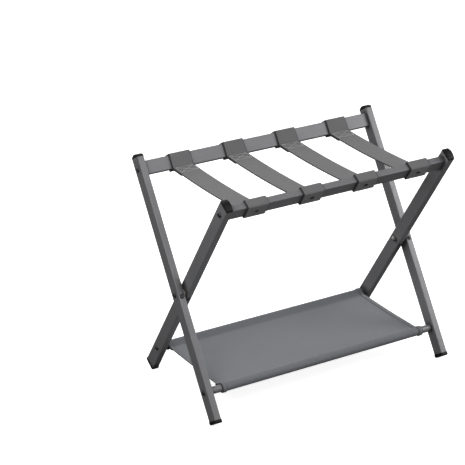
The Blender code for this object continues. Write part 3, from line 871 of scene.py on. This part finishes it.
def shelf_path():
    """The middle of the cloth in (y, z): front sleeve, the run between the bars, back sleeve."""
    back = shelf_sleeve(middle("back_bar").yz)
    front = [Vector((-point.x, point.y)) for point in reversed(back)]
    seam = back[0]
    run = []
    for k in range(1, 40):
        share = 2 * k / 40 - 1
        run.append(Vector((share * seam.x, seam.y - SHELF_SAG * (1 - share * share))))
    return even_out(front + run + back, 0.0055)


def shelf_columns():
    """X places across the shelf, close together at the hems."""
    from_edge = (0.0, 0.0006, 0.0018, 0.005, HEM_WIDTH - 0.0009, HEM_WIDTH - 0.0001,
                 HEM_WIDTH + 0.0004, HEM_WIDTH + 0.0012, HEM_WIDTH + 0.0020, HEM_WIDTH + 0.0030)
    hem = [SHELF_HALF_WIDTH - place for place in from_edge]
    inner = SHELF_HALF_WIDTH - HEM_WIDTH - 0.0045
    count = 84
    plain = [inner - 2 * inner * k / count for k in range(count + 1)]
    return hem + plain + [-x for x in reversed(hem)]


def shelf_shape(x, point):
    """How far the cloth stands off its path at a place, and how thick it is there."""
    from_edge = SHELF_HALF_WIDTH - abs(x)
    folded = min(1.0, max(0.0, (HEM_WIDTH - from_edge) / 0.0006 + 1))
    thick = CLOTH_THICKNESS + (HEM_THICKNESS - CLOTH_THICKNESS) * folded
    if from_edge < 0.0012:
        thick *= 0.80
    rise = (HEM_THICKNESS - CLOTH_THICKNESS) / 2 * folded
    if abs(point.x) < SEAM_Y:
        share = point.x / SEAM_Y
        soft = noise.noise(Vector((x * 7.0, point.x * 5.0, 3.1)))
        fold = noise.noise(Vector((x * 26.0, point.x * 4.0, 9.7)))
        pull = HEM_PULL * (x / SHELF_HALF_WIDTH) ** 4
        rise += (1 - share * share) * (SOFT_WAVE * soft + SMALL_FOLD * fold + pull)
        near_seam = math.exp(-((abs(point.x) - SEAM_Y) / PUCKER_SPREAD) ** 2)
        drift = 3 * noise.noise(Vector((x * 30, 0, 0)))
        rise += PUCKER * near_seam * math.sin(x * 2 * math.pi / PUCKER_PITCH + drift)
    return rise, thick


def spot_on(point, normal, x, offset):
    """A place over the cloth's middle, offset along its normal."""
    rise, _ = shelf_shape(x, point)
    spot = point + normal * (rise + offset)
    return Vector((x, spot.x, spot.y))


def border_of(rows):
    """The outline of a grid of vertices, once round."""
    left = [row[0] for row in rows]
    right = [row[-1] for row in rows]
    return left + rows[-1][1:] + right[-2::-1] + rows[0][-2:0:-1]


def shelf_sheet(path, normals, lengths):
    """The sheet's upper and lower faces and its border, with the cut cloth in a map."""
    bm = bmesh.new()
    cut = bm.loops.layers.uv.new("cut")
    columns = shelf_columns()
    faces = {1: [], -1: []}
    place = {}
    for point, normal, length in zip(path, normals, lengths):
        for face_side in (1, -1):
            row = []
            for x in columns:
                rise, thick = shelf_shape(x, point)
                spot = point + normal * (rise + face_side * thick / 2)
                vert = bm.verts.new((x, spot.x, spot.y))
                place[vert] = (x, length)
                row.append(vert)
            faces[face_side].append(row)
    for rows in faces.values():
        for first, second in zip(rows, rows[1:]):
            for k in range(len(columns) - 1):
                bm.faces.new((first[k], first[k + 1], second[k + 1], second[k]))
    skin(bm, border_of(faces[1]), border_of(faces[-1]))
    for face in bm.faces:
        for corner in face.loops:
            corner[cut].uv = place[corner.vert]
    return bm


def sew_hems(bm, path, normals):
    """Stitches down both hems, on both faces."""
    proud = HEM_THICKNESS / 2 + 0.0001
    for side in (1, -1):
        x = side * (SHELF_HALF_WIDTH - HEM_WIDTH + 0.0018)
        for k in range(len(path) - 1):
            for face_side in (1, -1):
                start = spot_on(path[k], normals[k], x, face_side * proud)
                end = spot_on(path[k + 1], normals[k + 1], x, face_side * proud)
                if (end - start).length > 0.0015:
                    normal = Vector((0, normals[k].x, normals[k].y)) * face_side
                    sew_line(bm, start, end, normal, SHELF_THREAD_RADIUS)


def sew_sleeves(bm, path, normals):
    """Stitches along both sleeve seams, on both faces."""
    lift = CLOTH_THICKNESS / 2 + 0.0001
    count = 120
    inset = 0.002
    run = 2 * (SHELF_HALF_WIDTH - inset)
    middle_height = path[len(path) // 2].y
    for side in (1, -1):
        y = side * (SEAM_Y - 0.0015)
        away = [abs(point.x - y) + abs(point.y - middle_height) * 0.2 for point in path]
        nearest = away.index(min(away))
        point, normal = path[nearest], normals[nearest]
        for face_side in (1, -1):
            offset = lift if face_side > 0 else -(lift + CLOTH_THICKNESS + 0.0006)
            points = [spot_on(point, normal, inset - SHELF_HALF_WIDTH + k * run / count, offset)
                      for k in range(count + 1)]
            facing = Vector((0, normal.x, normal.y)) * face_side
            for start, end in zip(points, points[1:]):
                sew_line(bm, start, end, facing, SHELF_THREAD_RADIUS, 2 * SHELF_HALF_WIDTH / count)


def add_shelf():
    """The sheet and its sewing, between the two bars."""
    path = shelf_path()
    normals, lengths = normals_of(path), lengths_of(path)
    shelf = add_piece("shelf_sheet", shelf_sheet(path, normals, lengths), FINISHES["shelf_cloth"], None, 50)
    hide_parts("shelf")
    bm = bmesh.new()
    sew_hems(bm, path, normals)
    sew_sleeves(bm, path, normals)
    sewing = add_piece("shelf_sewing", bm, SHELF_THREAD)
    for piece in (shelf, sewing):
        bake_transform(piece)


# ---- Studio ----
CAMERA_PLACE = Vector((-2.0071, -3.0188, 1.8840))
CAMERA_AZIMUTH = math.radians(-31.471)
CAMERA_ELEVATION = math.radians(23.404)
CAMERA_LENS = 142.36
CAMERA_SENSOR = 36.0
FLOOR_GLOW = 0.85
FLOOR_DARK = grey(0.78)
FLOOR_LIGHT = grey(0.82)
ROOM_GLOW = 0.03


def add_camera():
    """A long lens, front left and above the rack."""
    data = bpy.data.cameras.new("camera")
    data.sensor_width = CAMERA_SENSOR
    data.lens = CAMERA_LENS
    camera = bpy.data.objects.new("camera", data)
    across, up = CAMERA_AZIMUTH, CAMERA_ELEVATION
    back = Vector((math.sin(across) * math.cos(up), -math.cos(across) * math.cos(up), math.sin(up)))
    right = Vector((math.cos(across), math.sin(across), 0))
    axes = Matrix((right, back.cross(right), back)).transposed().to_4x4()
    camera.matrix_world = Matrix.Translation(CAMERA_PLACE) @ axes
    bpy.context.scene.collection.objects.link(camera)
    bpy.context.scene.camera = camera


def add_floor():
    """A wide pale floor that throws no light back onto the rack."""
    bm = bmesh.new()
    bmesh.ops.create_grid(bm, x_segments=8, y_segments=8, size=30.0)
    floor = add_piece("floor", bm, floor_paint(), Matrix.Translation((0, 0, FLOOR - 0.0002)))
    floor.visible_diffuse = False
    floor.visible_glossy = False


def add_light(name, place, aim, width, height, power):
    """A soft rectangular lamp, turned to aim."""
    data = bpy.data.lights.new(name, "AREA")
    data.shape = "RECTANGLE"
    data.size = width
    data.size_y = height
    data.energy = power
    lamp = bpy.data.objects.new(name, data)
    lamp.location = place
    lamp.rotation_euler = (Vector(aim) - Vector(place)).to_track_quat("-Z", "Y").to_euler()
    bpy.context.scene.collection.objects.link(lamp)


# Lamps: name, place, what it is turned to, width, height, watts.
LAMPS = (
    ("near_left", (-1.3, 0.0, 1.5), (-0.2, 0.0, 0.35), 0.8, 0.8, 3.5),
    ("near_front_left", (-1.3, -0.9, 1.3), (0.0, 0.0, 0.3), 0.8, 0.8, 10.5),
    ("high_left", (-1.5, 0.0, 2.6), (0.0, 0.0, 0.3), 1.6, 1.6, 9.0),
    ("behind", (0.0, 2.2, 2.0), (0.0, 0.0, 0.2), 2.0, 1.6, 33.0),
    ("behind_left", (-1.3, 1.9, 2.0), (0.0, 0.0, 0.3), 1.4, 1.4, 9.0),
    ("high_right", (1.8, -1.8, 2.0), (0.0, 0.0, 0.2), 1.6, 1.6, 7.0),
    ("low_right", (2.2, -1.8, 0.5), (0.0, 0.0, 0.2), 1.2, 0.8, 7.0),
    ("near_right", (1.5, -0.7, 0.9), (0.2, 0.0, 0.3), 0.8, 0.8, 13.0),
    ("overhead", (1.1, -0.1, 2.4), (0.0, -0.1, 0.4), 0.8, 0.8, 1.2),
    ("high_front", (0.1, -1.5, 2.3), (0.0, -0.1, 0.4), 1.0, 0.8, 9.0),
    ("low_left", (-1.4, -2.2, 0.5), (0.0, 0.0, 0.2), 1.2, 0.8, 12.0),
    ("edge_right", (2.4, 0.1, 0.6), (0.1, 0.0, 0.3), 0.7, 0.9, 6.0),
    ("back_fill", (-0.7, 2.6, 0.9), (0.0, 0.0, 0.3), 2.0, 1.4, 16.0),
)


def add_studio():
    """A dim room and the lamps."""
    world = bpy.data.worlds.new("studio")
    world.use_nodes = True
    shade = world.node_tree.nodes["Background"]
    shade.inputs["Color"].default_value = (1, 1, 1, 1)
    shade.inputs["Strength"].default_value = ROOM_GLOW
    bpy.context.scene.world = world
    for lamp in LAMPS:
        add_light(*lamp)
    bpy.context.scene.view_settings.view_transform = "Standard"


# ---- The rack ----
FINISHES = {
    "powder_coat": powder_coat(), "black_plastic": black_plastic(), "natural_nylon": nylon(),
    "black_steel": blackened_steel(), "zinc_steel": zinc_plate(), "webbing": webbing(),
    "shelf_cloth": shelf_cloth(),
}
STRAP_THREAD = thread("strap_thread", 0.46)
SHELF_THREAD = thread("shelf_thread", 0.13)


def finish_frame(name):
    """Caps, bolts and screws of the outer or the inner frame."""
    body = BODY[name]
    rail_face = Vector((0, SIDE[name] * math.cos(LEG_LEAN), -math.sin(LEG_LEAN)))
    leg_front = AXES[name].to_3x3() @ Vector((0, -1, 0))
    place = "back" if name == "outer" else "front"
    for hand in ("left", "right"):
        fit_top_cap(f"top_cap_{name}_{hand}", name)
        fit_foot_cap(f"foot_cap_{name}_{hand}", name)
        fit_side_bolt(f"rail_bolt_{name}_{hand}", body)
        fit_side_bolt(f"bar_bolt_{name}_{hand}", body)
        fit_face_screw(f"block_screw_{name}_{hand}", body, leg_front)
    for number in range(1, 5):
        fit_face_screw(f"strap_screw_{place}_{number}", body, rail_face)


def main():
    finish_cad_nodes()
    add_camera()
    add_floor()
    add_studio()
    for name in SIDE:
        finish_frame(name)
    for hand in ("left", "right"):
        fit_side_bolt(f"pivot_bolt_{hand}", "outer_frame")
        fit_cap_nut(f"pivot_nut_{hand}", "outer_frame")
    for number in range(1, 5):
        add_strap(number)
    add_shelf()


main()
